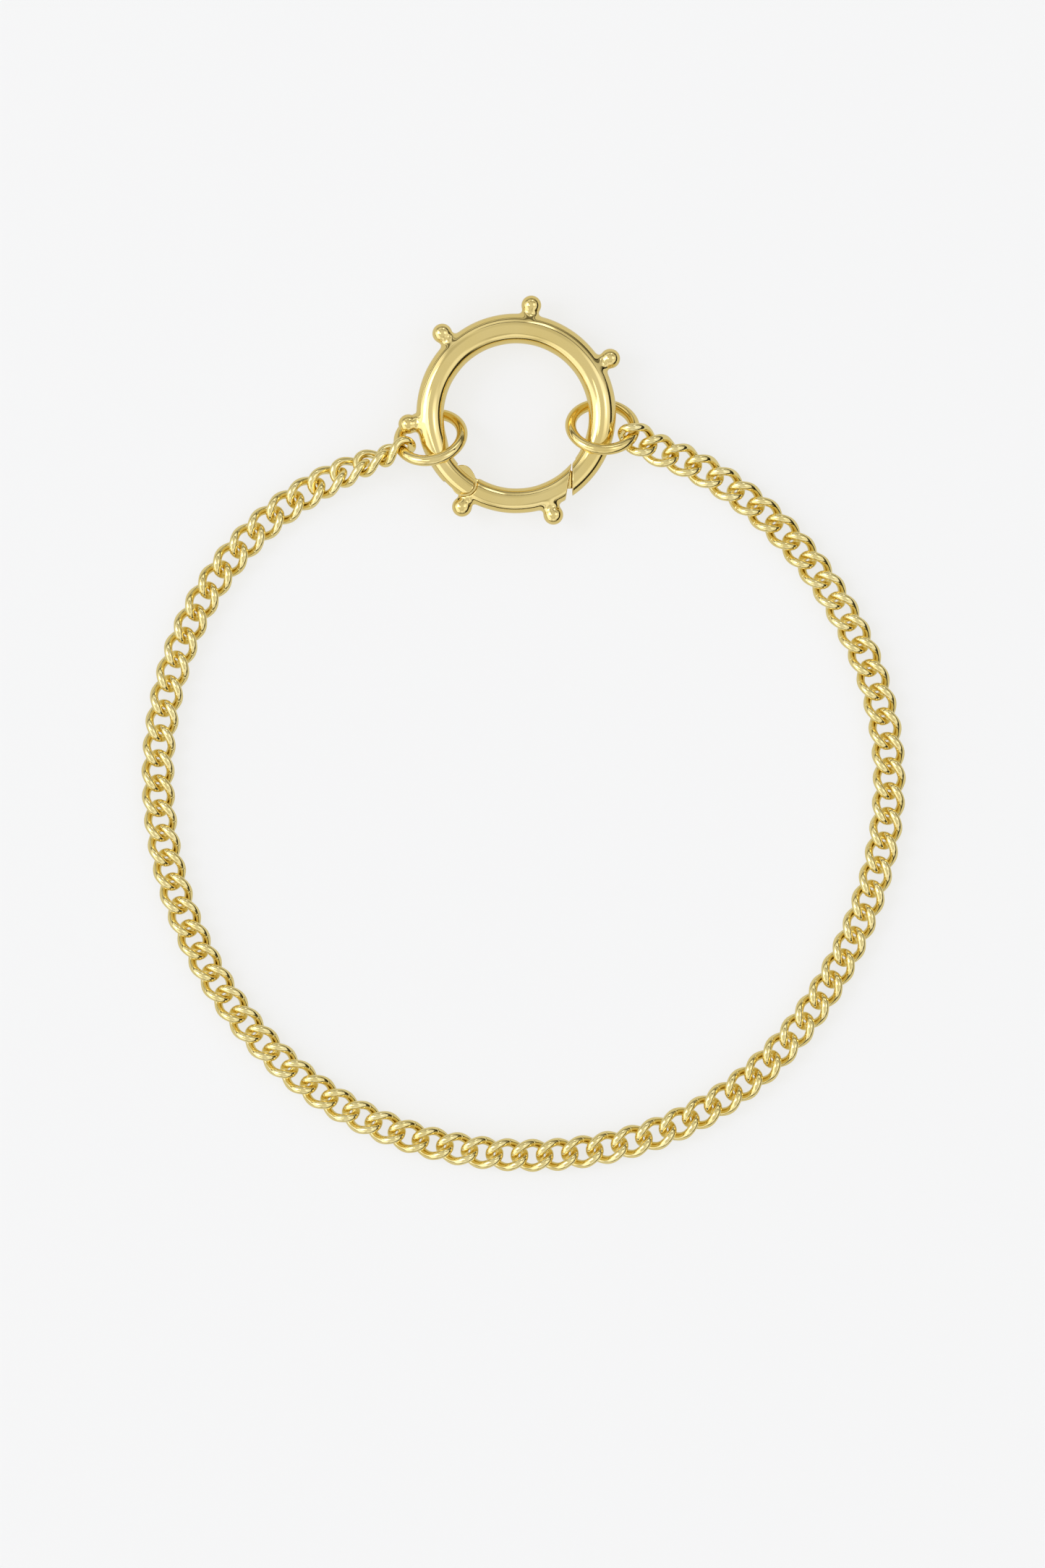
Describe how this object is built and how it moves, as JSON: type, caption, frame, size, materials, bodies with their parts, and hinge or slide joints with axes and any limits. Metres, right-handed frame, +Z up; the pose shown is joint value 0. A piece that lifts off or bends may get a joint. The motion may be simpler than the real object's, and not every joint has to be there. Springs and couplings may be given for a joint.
{
  "type": "chain necklace",
  "caption": "Closed loop of polished curb chain joined by two jump rings to a hinged, sprung ring clasp with small balls round its rim.",
  "frame": {"origin": "under the middle of the object's box, on the surface it lies on", "axes": "+Z up from the surface; +Y from the bottom link to the clasp; +X across the loop, to the right seen from above"},
  "size_m": [0.0597, 0.0684, 0.0043],
  "materials": {
    "clasp_gold": "polished pale yellow gold plate, cast",
    "chain_gold": "polished pale yellow gold plate, drawn wire",
    "ring_gold": "polished pale yellow gold plate, drawn wire",
    "spring_steel": "bright stainless"
  },
  "bodies": {
    "clasp": {"clasp_frame": "clasp_gold", "hinge_pin": "spring_steel", "gate_spring": "spring_steel"},
    "gate": {"clasp_gate": "clasp_gold"},
    "jump_rings": {"jump_ring_left": "ring_gold", "jump_ring_right": "ring_gold"},
    "strip_01": {"chain_left_01": "chain_gold", "chain_right_01": "chain_gold"},
    "strip_02": {"chain_left_02": "chain_gold", "chain_right_02": "chain_gold"},
    "strip_03": {"chain_left_03": "chain_gold", "chain_right_03": "chain_gold"},
    "strip_04": {"chain_left_04": "chain_gold", "chain_right_04": "chain_gold"},
    "strip_05": {"chain_left_05": "chain_gold", "chain_right_05": "chain_gold"},
    "strip_06": {"chain_left_06": "chain_gold", "chain_right_06": "chain_gold"},
    "strip_07": {"chain_left_07": "chain_gold", "chain_right_07": "chain_gold"},
    "strip_08": {"chain_left_08": "chain_gold", "chain_right_08": "chain_gold"},
    "strip_09": {"chain_left_09": "chain_gold", "chain_right_09": "chain_gold"},
    "strip_10": {"chain_left_10": "chain_gold", "chain_right_10": "chain_gold"},
    "strip_11": {"chain_left_11": "chain_gold", "chain_right_11": "chain_gold"},
    "strip_12": {"chain_left_12": "chain_gold", "chain_right_12": "chain_gold"},
    "strip_13": {"chain_left_13": "chain_gold", "chain_right_13": "chain_gold"},
    "strip_14": {"chain_left_14": "chain_gold", "chain_right_14": "chain_gold"},
    "strip_15": {"chain_left_15": "chain_gold", "chain_right_15": "chain_gold"},
    "strip_16": {"chain_left_16": "chain_gold", "chain_right_16": "chain_gold"},
    "strip_17": {"chain_left_17": "chain_gold", "chain_right_17": "chain_gold"},
    "strip_18": {"chain_left_18": "chain_gold", "chain_right_18": "chain_gold"},
    "strip_19": {"chain_left_19": "chain_gold", "chain_right_19": "chain_gold"},
    "strip_20": {"chain_left_20": "chain_gold", "chain_right_20": "chain_gold"},
    "strip_21": {"chain_left_21": "chain_gold", "chain_right_21": "chain_gold"},
    "bottom": {"chain_bottom": "chain_gold"}
  },
  "joints": [
    {"name": "gate_hinge", "type": "hinge", "parent": "clasp", "child": "gate", "pos_m": [-0.00464, 0.01959, 0.00214], "axis": [0, 0, 1], "range_deg": [0, 35], "stiffness_Nm_per_rad": 0.006, "springref_deg": -14.32},
    {"name": "rings_swing", "type": "hinge", "parent": "clasp", "child": "jump_rings", "pos_m": [-0.00053, 0.02358, 0.00214], "axis": [0.9981, 0.0614, 0], "range_deg": [-30, 0]},
    {"name": "fold_01", "type": "hinge", "parent": "jump_rings", "child": "strip_01", "pos_m": [-0.00053, 0.02298, 0.00261], "axis": [-0.9984, -0.0549, -0.0157], "range_deg": [-4, 7]},
    {"name": "fold_02", "type": "hinge", "parent": "strip_01", "child": "strip_02", "pos_m": [-0.00054, 0.02208, 0.0021], "axis": [-0.999, -0.0405, -0.0205], "range_deg": [-4, 9]},
    {"name": "fold_03", "type": "hinge", "parent": "strip_02", "child": "strip_03", "pos_m": [-0.00055, 0.02067, 0.00127], "axis": [-0.9996, -0.0276, -0.0051], "range_deg": [-4, 12]},
    {"name": "fold_04", "type": "hinge", "parent": "strip_03", "child": "strip_04", "pos_m": [-0.00059, 0.01869, 0.00088], "axis": [-0.9998, -0.0194, -0.0005], "range_deg": [-12, 12]},
    {"name": "fold_05", "type": "hinge", "parent": "strip_04", "child": "strip_05", "pos_m": [-0.00064, 0.0162, 0.00083], "axis": [-0.9999, -0.0157, 0], "range_deg": [-12, 12]},
    {"name": "fold_06", "type": "hinge", "parent": "strip_05", "child": "strip_06", "pos_m": [-0.00064, 0.01326, 0.00083], "axis": [-0.9999, -0.0159, 0], "range_deg": [-12, 12]},
    {"name": "fold_07", "type": "hinge", "parent": "strip_06", "child": "strip_07", "pos_m": [-0.00057, 0.00998, 0.00083], "axis": [-0.9998, -0.0183, 0], "range_deg": [-12, 12]},
    {"name": "fold_08", "type": "hinge", "parent": "strip_07", "child": "strip_08", "pos_m": [-0.00041, 0.00642, 0.00083], "axis": [-0.9998, -0.0211, 0], "range_deg": [-12, 12]},
    {"name": "fold_09", "type": "hinge", "parent": "strip_08", "child": "strip_09", "pos_m": [-0.00023, 0.00267, 0.00083], "axis": [-0.9997, -0.023, 0], "range_deg": [-12, 12]},
    {"name": "fold_10", "type": "hinge", "parent": "strip_09", "child": "strip_10", "pos_m": [-0.00006, -0.0012, 0.00083], "axis": [-0.9997, -0.0236, 0], "range_deg": [-12, 12]},
    {"name": "fold_11", "type": "hinge", "parent": "strip_10", "child": "strip_11", "pos_m": [0.00006, -0.00512, 0.00083], "axis": [-0.9997, -0.0235, 0], "range_deg": [-12, 12]},
    {"name": "fold_12", "type": "hinge", "parent": "strip_11", "child": "strip_12", "pos_m": [0.00014, -0.00899, 0.00083], "axis": [-0.9997, -0.0234, 0], "range_deg": [-12, 12]},
    {"name": "fold_13", "type": "hinge", "parent": "strip_12", "child": "strip_13", "pos_m": [0.00019, -0.01275, 0.00083], "axis": [-0.9997, -0.0237, 0], "range_deg": [-12, 12]},
    {"name": "fold_14", "type": "hinge", "parent": "strip_13", "child": "strip_14", "pos_m": [0.00026, -0.01635, 0.00083], "axis": [-0.9997, -0.024, 0], "range_deg": [-12, 12]},
    {"name": "fold_15", "type": "hinge", "parent": "strip_14", "child": "strip_15", "pos_m": [0.00036, -0.01976, 0.00083], "axis": [-0.9997, -0.0238, 0], "range_deg": [-12, 12]},
    {"name": "fold_16", "type": "hinge", "parent": "strip_15", "child": "strip_16", "pos_m": [0.00047, -0.02294, 0.00083], "axis": [-0.9997, -0.0225, 0], "range_deg": [-12, 12]},
    {"name": "fold_17", "type": "hinge", "parent": "strip_16", "child": "strip_17", "pos_m": [0.00057, -0.02581, 0.00083], "axis": [-0.9998, -0.02, 0], "range_deg": [-12, 12]},
    {"name": "fold_18", "type": "hinge", "parent": "strip_17", "child": "strip_18", "pos_m": [0.00064, -0.02828, 0.00083], "axis": [-0.9999, -0.0165, 0], "range_deg": [-12, 12]},
    {"name": "fold_19", "type": "hinge", "parent": "strip_18", "child": "strip_19", "pos_m": [0.00068, -0.03026, 0.00083], "axis": [-0.9999, -0.0127, 0], "range_deg": [-12, 12]},
    {"name": "fold_20", "type": "hinge", "parent": "strip_19", "child": "strip_20", "pos_m": [0.00069, -0.03169, 0.00083], "axis": [-1, -0.0093, 0], "range_deg": [-12, 12]},
    {"name": "fold_21", "type": "hinge", "parent": "strip_20", "child": "strip_21", "pos_m": [0.00068, -0.03258, 0.00083], "axis": [-1, -0.0069, 0], "range_deg": [-12, 12]},
    {"name": "fold_bottom", "type": "hinge", "parent": "strip_21", "child": "bottom", "pos_m": [0.00068, -0.03296, 0.00083], "axis": [-1, -0.0058, 0], "range_deg": [-12, 12]}
  ]
}
